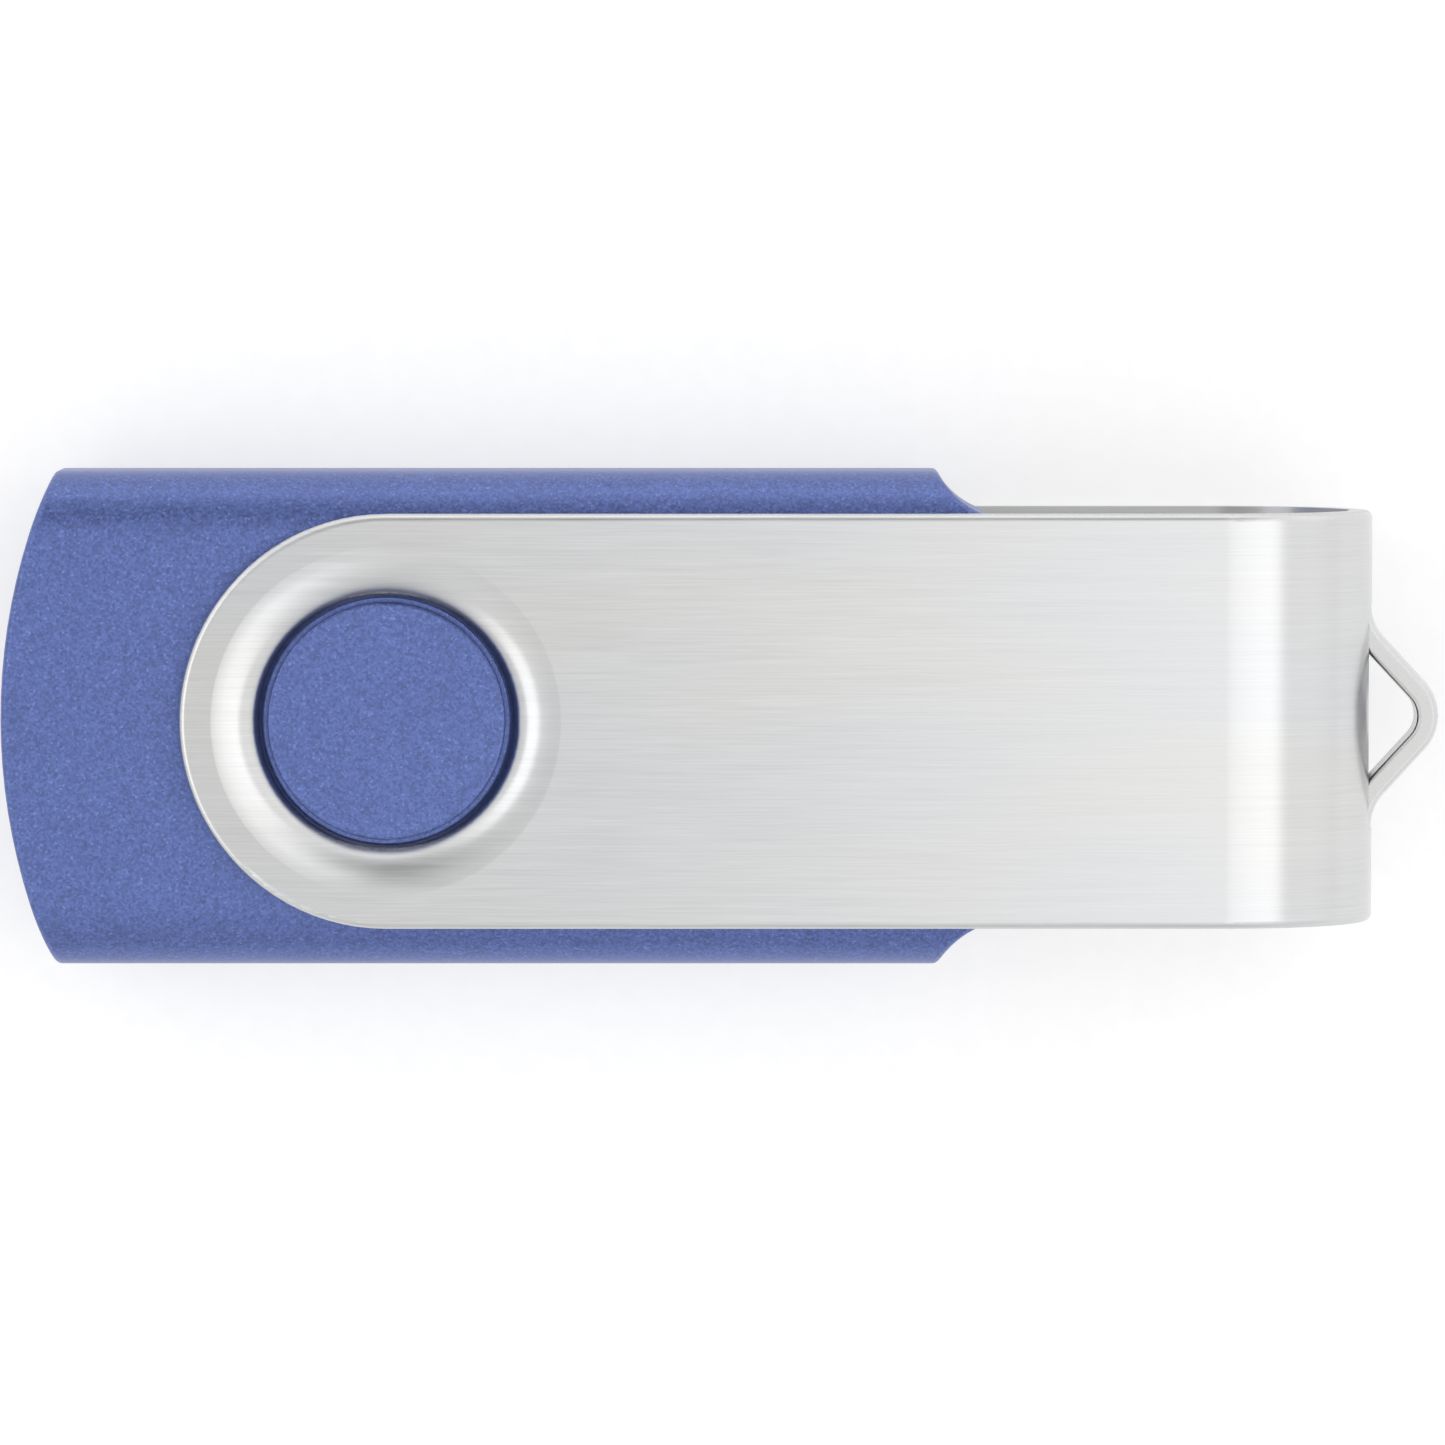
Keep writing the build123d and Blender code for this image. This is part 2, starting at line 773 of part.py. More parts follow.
regulator_lead_rows = [
    lead_row(
        origin=(
            regulator_place[0], regulator_place[1] + side * regulator_width / 2, mid + pad_top
        ),
        outwards=(0, side, 0),
        across=(side, 0, 0),
        run=(regulator_reach - regulator_width) / 2,
        foot=regulator_foot,
        exit_height=chip_standoff + regulator_height / 2,
        count=count,
        pitch=2 * regulator_pitch,
        width=regulator_lead_width,
    )
    for side, count in ((1, 1), (-1, 2))
]
with BuildPart() as regulator_leads:
    add(regulator_lead_rows)

finish(regulator_leads.part, "regulator_leads")


# ---- two-ended chip parts ----
def chip_blocks(places, size):
    """The ceramic blocks between the terminals, one for each place."""
    length, width, height, terminal = size
    with BuildPart() as blocks:
        for x, y, turn in places:
            with BuildSketch(at_level(pad_top + terminal_wrap)):
                with Locations(Location((x, y, 0), (0, 0, turn))):
                    Rectangle(length - 2 * terminal, width - 2 * terminal_wrap)
            extrude(amount=height - 2 * terminal_wrap)
    return blocks.part


def chip_terminals(places, size):
    """The plated ends, two for each place."""
    length, width, height, terminal = size
    with BuildPart() as ends:
        for x, y, turn in places:
            with BuildSketch(at_level(pad_top)):
                with Locations(Location((x, y, 0), (0, 0, turn))):
                    with GridLocations(length - terminal, 0, 2, 1):
                        Rectangle(terminal, width)
            extrude(amount=height)
    return ends.part


finish(chip_blocks(capacitor_places, capacitor_size), "ceramic_capacitors")
finish(chip_terminals(capacitor_places, capacitor_size), "capacitor_terminals")
finish(chip_blocks(resistor_places, resistor_size), "chip_resistors")
finish(chip_terminals(resistor_places, resistor_size), "resistor_terminals")

# ---- copper pads on both faces of the board ----
with BuildPart() as board_pads:
    with BuildSketch(at_level(board_top)):
        # under the contact tails
        for _, contact_y, _ in contact_places:
            with Locations((contact_rear_x - contact_solder_length - pad_margin, contact_y)):
                Rectangle(contact_tail, contact_width + 2 * pad_margin, align=(Align.MIN, Align.CENTER))
        # under the controller's feet
        foot_x = (controller_reach - lead_foot) / 2
        with Locations((controller_x, 0)):
            with PolarLocations(foot_x, 4):
                with GridLocations(0, lead_pitch, 1, controller_lead_count):
                    Rectangle(lead_foot + 2 * pad_margin, lead_width + pad_margin)
        # under the ends of the two-ended parts
        for places, size in ((capacitor_places, capacitor_size), (resistor_places, resistor_size)):
            length, width, _, terminal = size
            for x, y, turn in places:
                with Locations(Location((x, y, 0), (0, 0, turn))):
                    with GridLocations(length - terminal, 0, 2, 1):
                        Rectangle(terminal + 2 * pad_margin, width + 2 * pad_margin)
        # under the crystal's corners and the regulator's feet
        with Locations(crystal_place):
            with GridLocations(
                crystal_length - crystal_pad_length, crystal_width - crystal_pad_width, 2, 2
            ):
                Rectangle(crystal_pad_length, crystal_pad_width)
        foot_y = (regulator_reach - regulator_foot) / 2
        x, y = regulator_place
        with Locations(
            (x, y + foot_y), (x - regulator_pitch, y - foot_y), (x + regulator_pitch, y - foot_y)
        ):
            Rectangle(regulator_lead_width + pad_margin, regulator_foot + 2 * pad_margin)
    extrude(amount=pad_thickness)

    # under the flash chip's feet
    with BuildSketch(at_level(lower_pad_top)):
        with Locations((flash_x, 0)):
            with GridLocations(flash_reach - lead_foot, lead_pitch, 2, flash_lead_count):
                Rectangle(lead_foot + 2 * pad_margin, lead_width + pad_margin)
    extrude(amount=pad_thickness)

finish(board_pads.part, "board_pads")

# ---- solder ----
with BuildPart() as contact_solder:
    for _, contact_y, _ in contact_places:
        with BuildSketch(Plane.XZ.offset(-contact_y)):
            with BuildLine():
                Polyline(
                    (contact_rear_x, mid + pad_top),
                    (contact_rear_x, mid + contact_top),
                    (contact_rear_x - contact_solder_length, mid + pad_top),
                    close=True,
                )
            make_face()
        extrude(amount=contact_width / 2, both=True)

finish(contact_solder.part, "contact_solder")

leg_mid_x = board_shoulder_x - leg_length / 2
with BuildPart() as leg_solder:
    for side in (1, -1):
        leg_inner = side * (plug_width / 2 - plug_sheet)
        leg_outer = side * plug_width / 2
        for root_y, out in ((leg_inner, -side), (leg_outer, side)):
            for face_level, up in ((board_top, 1), (board_bottom, -1)):
                with BuildSketch(Plane.YZ.offset(leg_mid_x)):
                    with BuildLine():
                        Polyline(
                            (root_y, mid + face_level),
                            (root_y, mid + face_level + up * leg_solder_height),
                            (root_y + out * leg_solder_width, mid + face_level),
                            close=True,
                        )
                    make_face()
                extrude(amount=leg_solder_length / 2, both=True)

finish(leg_solder.part, "leg_solder")
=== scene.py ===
import math

import bpy
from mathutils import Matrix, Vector


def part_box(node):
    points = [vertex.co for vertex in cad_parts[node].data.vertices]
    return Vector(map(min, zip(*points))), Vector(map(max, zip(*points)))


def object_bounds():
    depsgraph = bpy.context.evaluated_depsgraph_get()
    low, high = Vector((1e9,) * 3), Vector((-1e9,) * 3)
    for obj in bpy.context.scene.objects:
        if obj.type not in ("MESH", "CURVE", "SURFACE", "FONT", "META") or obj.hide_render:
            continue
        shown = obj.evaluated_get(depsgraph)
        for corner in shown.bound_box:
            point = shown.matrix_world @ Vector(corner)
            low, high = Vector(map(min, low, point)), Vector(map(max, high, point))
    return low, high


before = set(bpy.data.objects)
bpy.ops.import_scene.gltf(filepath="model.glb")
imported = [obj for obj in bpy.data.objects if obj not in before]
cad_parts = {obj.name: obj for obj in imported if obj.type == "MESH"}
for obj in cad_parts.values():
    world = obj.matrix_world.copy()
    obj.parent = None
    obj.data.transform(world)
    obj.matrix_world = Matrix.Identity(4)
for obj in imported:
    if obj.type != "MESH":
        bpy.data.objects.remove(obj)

# A swivel USB flash drive lying on a pale surface under a light tent with two large panels.
# Everything is in metres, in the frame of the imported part: +X runs to the key loop, +Z is up.
# Material patterns are laid out in millimetres of the part's own coordinates.

cad_low, cad_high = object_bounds()
MM = 0.001

# the two ranges that smooth noise is stretched from: most of its values, and its middle
NOISE_WIDE = (0.3, 0.7)
NOISE_NARROW = (0.35, 0.65)

# sockets of the Mix node for each kind of data: the two inputs and the output
MIX_SOCKETS = {"FLOAT": (2, 3, 0), "VECTOR": (4, 5, 1), "RGBA": (6, 7, 2)}

# edge wear: where the rounded normal starts to leave the surface normal, and full wear
WEAR_START = 0.01
WEAR_FULL = 0.12
BEVEL_SAMPLES = 4

# the clip's bend is this much longer along X than it is high, measured from the middle level
BEND_STRETCH = 1.186
# share of the clip's half width beyond which only the bend, not the key loop, is found
CLIP_SIDE_SHARE = 0.95

# ---- places read from the frame ----
clip_low, clip_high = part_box("swivel_clip")
mid_height = (clip_low.z + clip_high.z) / 2
bend_radius = (clip_high.z - clip_low.z) / 2
beside_loop = CLIP_SIDE_SHARE * clip_high.y
bend_x = max(v.co.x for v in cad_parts["swivel_clip"].data.vertices if v.co.y > beside_loop)
bend_centre_x = bend_x - bend_radius * BEND_STRETCH
centre = Vector(((cad_low.x + cad_high.x) / 2, (cad_low.y + cad_high.y) / 2, mid_height))

# ---- camera ----
CAMERA_DISTANCE = 0.40
CAMERA_TILT = math.radians(3.2)
# how much of the world's width the picture shows at the part's middle height
FRAME_WIDTH_AT_TARGET = 0.05757
SENSOR_WIDTH = 36.0
NEAREST_SEEN, FARTHEST_SEEN = 0.01, 30.0
TARGET_OFFSET = Vector((0.0, -0.0003, 0.0))

# ---- light ----
TENT_BRIGHTNESS = 1.15
# direction, half width in degrees, and change of the tent's brightness at the middle
TENT_LOBES = (
    ((0.85, 0.0, 0.53), 30.0, 0.29),
    ((-0.42, 0.0, 0.91), 17.0, 0.20),
    ((0.0, -0.7, 0.7), 25.0, 0.08),
    ((0.0, 0.616, 0.788), 19.0, -0.93),
    ((0.0, 1.0, 0.0), 14.0, 1.8),
    ((0.7, 0.75, 0.05), 20.0, 0.5),
    ((-0.7, 0.75, 0.05), 20.0, 0.5),
    ((0.0, -1.0, -0.05), 28.0, -0.45),
)
# name, direction, distance, size and brightness
PANELS = (
    ("panel_loop_side", (0.353, 0.05, 0.935), 0.66, (0.62, 0.462), 0.72),
    ("panel_rear_side", (-0.73, 0.0, 0.683), 0.90, (1.1, 0.42), 0.72),
)

# ---- floor ----
FLOOR_HALF = 8.0
FLOOR_GLOW = 0.52


class Material:
    """A node material under construction, with short ways to add the nodes used here."""

    def __init__(self, name, **constants):
        self.material = bpy.data.materials.new(name)
        self.material.use_nodes = True
        self.tree = self.material.node_tree
        self.tree.nodes.clear()
        self.shader = self.node("ShaderNodeBsdfPrincipled", constants)
        output = self.node("ShaderNodeOutputMaterial")
        self.tree.links.new(self.shader.outputs["BSDF"], output.inputs["Surface"])
        self.place = self.node("ShaderNodeTexCoord")
        self.mm = self.vector_math("MULTIPLY", self.place.outputs["Object"], (1 / MM,) * 3)
        self.x, self.y, self.z = self.split(self.mm)
        self.normal = self.place.outputs["Normal"]

    def node(self, kind, inputs=None, **settings):
        """Add a node; each input is either another node's socket or a constant."""
        made = self.tree.nodes.new(kind)
        for key, value in settings.items():
            setattr(made, key, value)
        for key, value in (inputs or {}).items():
            self.feed(made.inputs[key], value)
        return made

    def feed(self, socket, value):
        if isinstance(value, bpy.types.NodeSocket):
            self.tree.links.new(value, socket)
        else:
            socket.default_value = value

    def set(self, **sockets):
        """Feed the shader's own sockets, named with underscores for spaces."""
        for key, value in sockets.items():
            self.feed(self.shader.inputs[key.replace("_", " ")], value)

    def math(self, operation, a, b=0.0):
        return self.node("ShaderNodeMath", {0: a, 1: b}, operation=operation).outputs[0]

    def vector_math(self, operation, a, b=(0.0, 0.0, 0.0)):
        made = self.node("ShaderNodeVectorMath", {0: a, 1: b}, operation=operation)
        return made.outputs["Value" if operation == "DOT_PRODUCT" else "Vector"]

    def split(self, vector):
        made = self.node("ShaderNodeSeparateXYZ", {"Vector": vector})
        return made.outputs["X"], made.outputs["Y"], made.outputs["Z"]

    def join(self, x, y, z):
        return self.node("ShaderNodeCombineXYZ", {"X": x, "Y": y, "Z": z}).outputs["Vector"]

    def stretch(self, vector, factors):
        return self.vector_math("MULTIPLY", vector, factors)

    def noise(self, vector, detail=2.0, roughness=0.5):
        """Smooth noise from 0 to 1 with features about one unit across."""
        inputs = {"Vector": vector, "Scale": 1.0, "Detail": detail, "Roughness": roughness}
        return self.node("ShaderNodeTexNoise", inputs).outputs["Fac"]

    def cells(self, vector):
        """Random cells about one unit across: distance to the middle, and a random value per cell."""
        made = self.node("ShaderNodeTexVoronoi", {"Vector": vector, "Scale": 1.0}, feature="F1")
        random_value = self.split(made.outputs["Color"])[0]
        return made.outputs["Distance"], random_value

    def span(self, value, low, high, out_low=0.0, out_high=1.0, smooth=True):
        """Map low..high to out_low..out_high, clamped."""
        ends = {"From Min": low, "From Max": high, "To Min": out_low, "To Max": out_high}
        curve = "SMOOTHSTEP" if smooth else "LINEAR"
        made = self.node("ShaderNodeMapRange", {"Value": value, **ends}, interpolation_type=curve)
        return made.outputs["Result"]

    def mix(self, kind, share, a, b, **settings):
        """a where share is 0, b where it is 1."""
        first, second, result = MIX_SOCKETS[kind]
        inputs = {0: share, first: a, second: b}
        return self.node("ShaderNodeMix", inputs, data_type=kind, **settings).outputs[result]

    def blend(self, share, a, b):
        """From a to b, which are numbers or number sockets."""
        return self.mix("FLOAT", share, a, b)

    def tint(self, share, a, b, mode="MIX"):
        """The same for two colours; mode MULTIPLY gives a multiplied by b."""
        a, b = (v if isinstance(v, bpy.types.NodeSocket) else (*v, 1.0) for v in (a, b))
        return self.mix("RGBA", share, a, b, blend_type=mode)

    def shade(self, colour, factor):
        """The colour made lighter or darker by a factor socket."""
        grey = self.node("ShaderNodeCombineColor", {"Red": factor, "Green": factor, "Blue": factor})
        return self.tint(1.0, colour, grey.outputs["Color"], mode="MULTIPLY")

    def facing(self, direction):
        """How squarely the surface faces along or against a direction of the part, 0 to 1."""
        return self.math("ABSOLUTE", self.vector_math("DOT_PRODUCT", self.normal, direction))

    def edges(self, radius_mm):
        """1 on sharp outer and inner edges, 0 away from them."""
        rounded = self.node("ShaderNodeBevel", {"Radius": radius_mm * MM}, samples=BEVEL_SAMPLES)
        flat = self.node("ShaderNodeNewGeometry").outputs["Normal"]
        alike = self.vector_math("DOT_PRODUCT", rounded.outputs["Normal"], flat)
        return self.span(self.math("SUBTRACT", 1.0, alike), WEAR_START, WEAR_FULL)

    def bump(self, height, depth_mm, under=None):
        """Relief depth_mm high where height is 1, on top of the normals under it."""
        inputs = {"Height": height, "Distance": depth_mm * MM, "Strength": 1.0}
        if under is not None:
            inputs["Normal"] = under
        return self.node("ShaderNodeBump", inputs).outputs["Normal"]

    def to_world(self, vector, kind):
        """A direction of the part's own axes turned with the part; kind is VECTOR or NORMAL."""
        turned = self.node("ShaderNodeVectorTransform", {"Vector": vector})
        turned.vector_type = kind
        turned.convert_from = "OBJECT"
        turned.convert_to = "WORLD"
        return turned.outputs["Vector"]

    def grain_across(self, direction):
        """Give the brushing's cross direction, in the part's own axes, to the shader."""
        self.set(Tangent=self.to_world(direction, "VECTOR"))

    def dress(self, *names):
        """Put this material on CAD nodes."""
        for name in names:
            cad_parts[name].material_slots[0].material = self.material
        return self.material


# ---- clip ----
def brushed_aluminium():
    """Sheet brushed along its length, with bright sheared edges."""
    m = Material("brushed_aluminium", Metallic=1.0, Anisotropic=0.82)

    # distance along the strip, carried round the bend
    from_bend = m.math("SUBTRACT", m.x, bend_centre_x / MM)
    above_mid = m.math("SUBTRACT", m.z, mid_height / MM)
    beyond = m.math("MAXIMUM", from_bend, 0.0)
    turned = m.math("ARCTAN2", m.math("DIVIDE", beyond, BEND_STRETCH), above_mid)
    straight = m.math("MULTIPLY", m.math("SIGN", above_mid), m.math("MINIMUM", from_bend, 0.0))
    along = m.math("ADD", m.math("MULTIPLY", turned, bend_radius / MM), straight)
    strip = m.join(along, m.y, 0.0)

    # outward is where the outer face looks; the cut edges are whatever lies far from square to it
    slope = m.math("DIVIDE", beyond, BEND_STRETCH**2)
    outward = m.vector_math("NORMALIZE", m.join(slope, 0.0, above_mid))
    squareness = m.math("ABSOLUTE", m.vector_math("DOT_PRODUCT", m.normal, outward))
    face_squareness, cut_squareness = 0.62, 0.42
    cut = m.span(squareness, face_squareness, cut_squareness)

    # brushing: fine hairs, wider lines and broad clouds, drawn out along the strip
    hair_share, line_share, cloud_share = 0.6, 0.27, 0.13
    hair = m.noise(m.stretch(strip, (0.30, 15.0, 1.0)), detail=3.0)
    line = m.noise(m.stretch(strip, (0.10, 4.2, 1.0)), detail=2.0)
    cloud = m.noise(m.stretch(strip, (0.09, 0.8, 1.0)), detail=2.0)
    coarse = m.math(
        "ADD", m.math("MULTIPLY", line, line_share), m.math("MULTIPLY", cloud, cloud_share)
    )
    brushing = m.math("ADD", m.math("MULTIPLY", hair, hair_share), coarse)
    shear = m.noise(m.stretch(m.mm, (7.0, 7.0, 1.6)), detail=3.0)

    # a few dark specks rolled into the sheet
    specks_per_mm = 0.16
    largest_speck = 0.016
    speck_distance, speck_size = m.cells(m.stretch(m.mm, (specks_per_mm,) * 3))
    speck_edge = m.span(speck_size, 0.55, 1.0, 0.0, largest_speck, smooth=False)
    speck = m.math("LESS_THAN", speck_distance, speck_edge)
    speck_level = 0.72

    # the brushing shows more near the pivot than near the bend
    pivot_side, bend_side = -10.0, 14.0
    contrast = m.span(m.x, pivot_side, bend_side, 0.52, 0.34, smooth=False)
    edge = m.edges(0.09)
    level = m.math("MULTIPLY", m.math("SUBTRACT", brushing, 0.5), contrast)
    level = m.math("ADD", level, 1.0)
    level = m.blend(cut, level, m.span(shear, *NOISE_WIDE, 0.90, 1.08, smooth=False))
    level = m.math("MULTIPLY", level, m.blend(edge, 1.0, 1.06))
    level = m.math("MULTIPLY", level, m.blend(speck, 1.0, speck_level))
    tone = m.noise(m.stretch(strip, (0.06, 0.16, 1.0)), detail=1.0)
    colour = m.tint(m.span(tone, *NOISE_NARROW), (0.638, 0.645, 0.656), (0.648, 0.648, 0.642))
    colour = m.tint(cut, colour, (0.66, 0.66, 0.655))
    m.set(Base_Color=m.shade(colour, level))

    face_roughness = m.span(hair, *NOISE_WIDE, 0.285, 0.335, smooth=False)
    cut_roughness = m.span(shear, *NOISE_WIDE, 0.36, 0.5, smooth=False)
    m.set(Roughness=m.blend(cut, face_roughness, cut_roughness))

    # the bend's shading follows its true curve, so that it starts smoothly from the leaves;
    # this is for the sheet's two faces only, from just before the bend's start
    lead_in = -0.5
    outer_side = m.math("GREATER_THAN", m.vector_math("DOT_PRODUCT", m.normal, outward), 0.0)
    side = m.blend(outer_side, -1.0, 1.0)
    true_curve = m.vector_math("MULTIPLY", outward, m.join(side, side, side))
    level_across = m.span(m.facing((0.0, 1.0, 0.0)), 0.04, 0.02)
    on_face = m.span(squareness, 0.97, 0.99)
    on_bend = m.math("MULTIPLY", level_across, on_face)
    on_bend = m.math("MULTIPLY", on_bend, m.math("GREATER_THAN", from_bend, lead_in))
    surface = m.node("ShaderNodeNewGeometry").outputs["Normal"]
    shaped = m.mix("VECTOR", on_bend, surface, m.to_world(true_curve, "NORMAL"))
    relief = m.blend(cut, brushing, shear)
    m.set(Normal=m.bump(relief, 0.0022, under=shaped))

    m.grain_across((0.03, 1.0, 0.02))
    m.dress("swivel_clip")


# ---- body ----
def flake_plastic():
    """Blue moulding filled with fine bright flakes, satin on the surface."""
    m = Material("flake_plastic", Metallic=0.7, IOR=1.5)
    m.set(Coat_Weight=0.3, Coat_Roughness=0.3)
    flakes_per_mm = 10.5
    grains_per_mm = 9.0
    _, flake = m.cells(m.stretch(m.mm, (flakes_per_mm,) * 3))
    fine = m.noise(m.stretch(m.mm, (grains_per_mm,) * 3), detail=3.0, roughness=0.6)
    cloud = m.noise(m.stretch(m.mm, (0.35, 0.35, 0.35)), detail=2.0)
    edge = m.edges(0.22)
    level = m.span(flake, 0.0, 1.0, 0.77, 1.23, smooth=False)
    level = m.math("MULTIPLY", level, m.span(fine, *NOISE_WIDE, 0.84, 1.16, smooth=False))
    level = m.math("MULTIPLY", level, m.span(cloud, *NOISE_WIDE, 0.98, 1.02, smooth=False))
    level = m.math("MULTIPLY", level, m.blend(edge, 1.0, 1.12))
    spark = m.span(flake, 0.95, 0.98, 0.0, 0.14)
    colour = m.tint(spark, (0.0955, 0.139, 0.367), (0.25, 0.32, 0.61))
    m.set(Base_Color=m.shade(colour, level))
    rough = m.span(flake, 0.0, 1.0, 0.37, 0.47, smooth=False)
    m.set(Roughness=m.blend(edge, rough, 0.36))
    m.set(Normal=m.bump(fine, 0.005, under=m.bump(flake, 0.002)))
    m.dress("upper_shell", "lower_shell")


# ---- plug ----
def nickel_steel():
    """Bright plated sheet with lengthwise wipe marks from being pushed into sockets."""
    m = Material("nickel_steel", Metallic=1.0, Anisotropic=0.45)
    grain = m.noise(m.stretch(m.mm, (0.5, 11.0, 11.0)), detail=3.0)
    wipe = m.noise(m.stretch(m.mm, (0.12, 2.6, 2.6)), detail=3.0, roughness=0.65)
    scratch = m.span(m.noise(m.stretch(m.mm, (0.16, 8.0, 8.0)), detail=1.0), 0.66, 0.74)
    bloom = m.noise(m.stretch(m.mm, (0.4, 0.4, 0.4)), detail=2.0)
    edge = m.edges(0.12)
    level = m.span(grain, *NOISE_WIDE, 0.95, 1.05, smooth=False)
    level = m.math("MULTIPLY", level, m.span(wipe, *NOISE_WIDE, 0.95, 1.04, smooth=False))
    level = m.math("MULTIPLY", level, m.blend(edge, 1.0, 1.09))
    colour = m.tint(m.span(bloom, *NOISE_NARROW), (0.60, 0.59, 0.565), (0.64, 0.635, 0.625))
    m.set(Base_Color=m.shade(colour, level))
    rough = m.span(wipe, *NOISE_WIDE, 0.24, 0.33, smooth=False)
    rough = m.math("ADD", rough, m.math("MULTIPLY", scratch, 0.1))
    m.set(Roughness=m.blend(edge, rough, 0.2))
    m.set(Normal=m.bump(scratch, 0.0015, under=m.bump(grain, 0.0014)))
    m.grain_across((0.02, 1.0, 0.03))
    m.dress("plug_shell")


def moulded_black(name, nodes, colours, roughness, grain_mm, depth_mm):
    """A dark moulding: fine grain, faint flow clouds and lighter rubbed edges."""
    m = Material(name, IOR=1.52)
    scale = 1.0 / grain_mm
    grain = m.noise(m.stretch(m.mm, (scale,) * 3), detail=3.0, roughness=0.6)
    flow = m.noise(m.stretch(m.mm, (0.5, 0.9, 0.9)), detail=3.0)
    _, fleck = m.cells(m.stretch(m.mm, (scale * 1.4,) * 3))
    edge = m.edges(0.1)
    colour = m.tint(m.span(flow, *NOISE_WIDE), colours[0], colours[1])
    colour = m.tint(m.span(fleck, 0.9, 1.0, 0.0, 0.5), colour, colours[2])
    level = m.span(grain, *NOISE_WIDE, 0.85, 1.15, smooth=False)
    level = m.math("MULTIPLY", level, m.blend(edge, 1.0, 1.7))
    m.set(Base_Color=m.shade(colour, level))
    low, high = roughness
    m.set(Roughness=m.blend(edge, m.span(grain, *NOISE_WIDE, low, high, smooth=False), low))
    m.set(Normal=m.bump(grain, depth_mm))
    m.dress(*nodes)


def plated_metal(name, nodes, colours, roughness, stretch, depth_mm):
    """Plated metal with a drawn or wiped grain, light stains and bright edges."""
    m = Material(name, Metallic=1.0)
    grain = m.noise(m.stretch(m.mm, stretch), detail=3.0)
    stain = m.noise(m.stretch(m.mm, (0.9, 0.9, 0.9)), detail=3.0)
    edge = m.edges(0.05)
    colour = m.tint(m.span(stain, *NOISE_NARROW), colours[0], colours[1])
    level = m.span(grain, *NOISE_WIDE, 0.92, 1.06, smooth=False)
    level = m.math("MULTIPLY", level, m.blend(edge, 1.0, 1.1))
    m.set(Base_Color=m.shade(colour, level))
    low, high = roughness
    m.set(Roughness=m.span(grain, *NOISE_WIDE, low, high, smooth=False))
    m.set(Normal=m.bump(grain, depth_mm))
    m.dress(*nodes)


# ---- circuit board ----
def board_laminate():
    """Green solder mask over copper traces, with bare glass-epoxy on the cut edges."""
    m = Material("board_laminate", IOR=1.5)

    # each block of the board is filled with traces running one way, or with solid copper:
    # a block's random number below the first limit gives traces along X, then along Y, then slanting
    block_length, block_width = 2.4, 1.8
    pitch = 0.36
    copper_half, gap_from = 0.16, 0.20
    across_from, slanting_from, solid_from = 0.42, 0.66, 0.82
    block = m.vector_math("FLOOR", m.stretch(m.mm, (1 / block_length, 1 / block_width, 0.0)))
    random_block = m.node("ShaderNodeTexWhiteNoise", {"Vector": block}, noise_dimensions="3D")
    chance = random_block.outputs["Value"]

    def lines(coordinate):
        phase = m.math("FRACT", m.math("DIVIDE", coordinate, pitch))
        from_middle = m.math("ABSOLUTE", m.math("SUBTRACT", phase, 0.5))
        return m.span(from_middle, copper_half, gap_from, 1.0, 0.0)

    slant = m.math("ADD", m.x, m.y)
    way = m.blend(m.math("GREATER_THAN", chance, across_from), lines(m.y), lines(m.x))
    way = m.blend(m.math("GREATER_THAN", chance, slanting_from), way, lines(slant))
    pour = m.math("GREATER_THAN", chance, solid_from)
    copper = m.math("MAXIMUM", way, pour)
    top = m.span(m.facing((0.0, 0.0, 1.0)), 0.5, 0.7)
    mask_noise = m.noise(m.stretch(m.mm, (1.6, 1.6, 1.6)), detail=3.0)
    green = m.tint(copper, (0.008, 0.085, 0.035), (0.022, 0.17, 0.065))
    green = m.shade(green, m.span(mask_noise, *NOISE_WIDE, 0.9, 1.1, smooth=False))
    fibre = m.noise(m.stretch(m.mm, (3.0, 3.0, 16.0)), detail=3.0)
    laminate = m.tint(m.span(fibre, *NOISE_NARROW), (0.30, 0.29, 0.12), (0.47, 0.45, 0.24))
    m.set(Base_Color=m.tint(top, laminate, green))
    m.set(Roughness=m.blend(top, 0.7, m.span(mask_noise, *NOISE_WIDE, 0.24, 0.34, smooth=False)))
    relief = m.blend(top, fibre, copper)
    m.set(Normal=m.bump(relief, 0.02))
    m.dress("circuit_board")


def coated_resistor():
    """White alumina chip with a dark glaze on its upper face."""
    m = Material("coated_resistor", IOR=1.6)
    top = m.span(m.split(m.normal)[2], 0.4, 0.6)
    grain = m.noise(m.stretch(m.mm, (14.0, 14.0, 14.0)), detail=3.0)
    alumina = m.tint(m.span(grain, *NOISE_NARROW), (0.62, 0.60, 0.56), (0.76, 0.75, 0.71))
    glaze = m.tint(m.span(grain, *NOISE_NARROW), (0.012, 0.012, 0.014), (0.03, 0.03, 0.034))
    m.set(Base_Color=m.tint(top, alumina, glaze))
    bare_roughness = m.span(grain, *NOISE_WIDE, 0.55, 0.75)
    glaze_roughness = m.span(grain, *NOISE_WIDE, 0.15, 0.3)
    m.set(Roughness=m.blend(top, bare_roughness, glaze_roughness))
    m.set(Normal=m.bump(grain, 0.006))
    m.dress("chip_resistors")


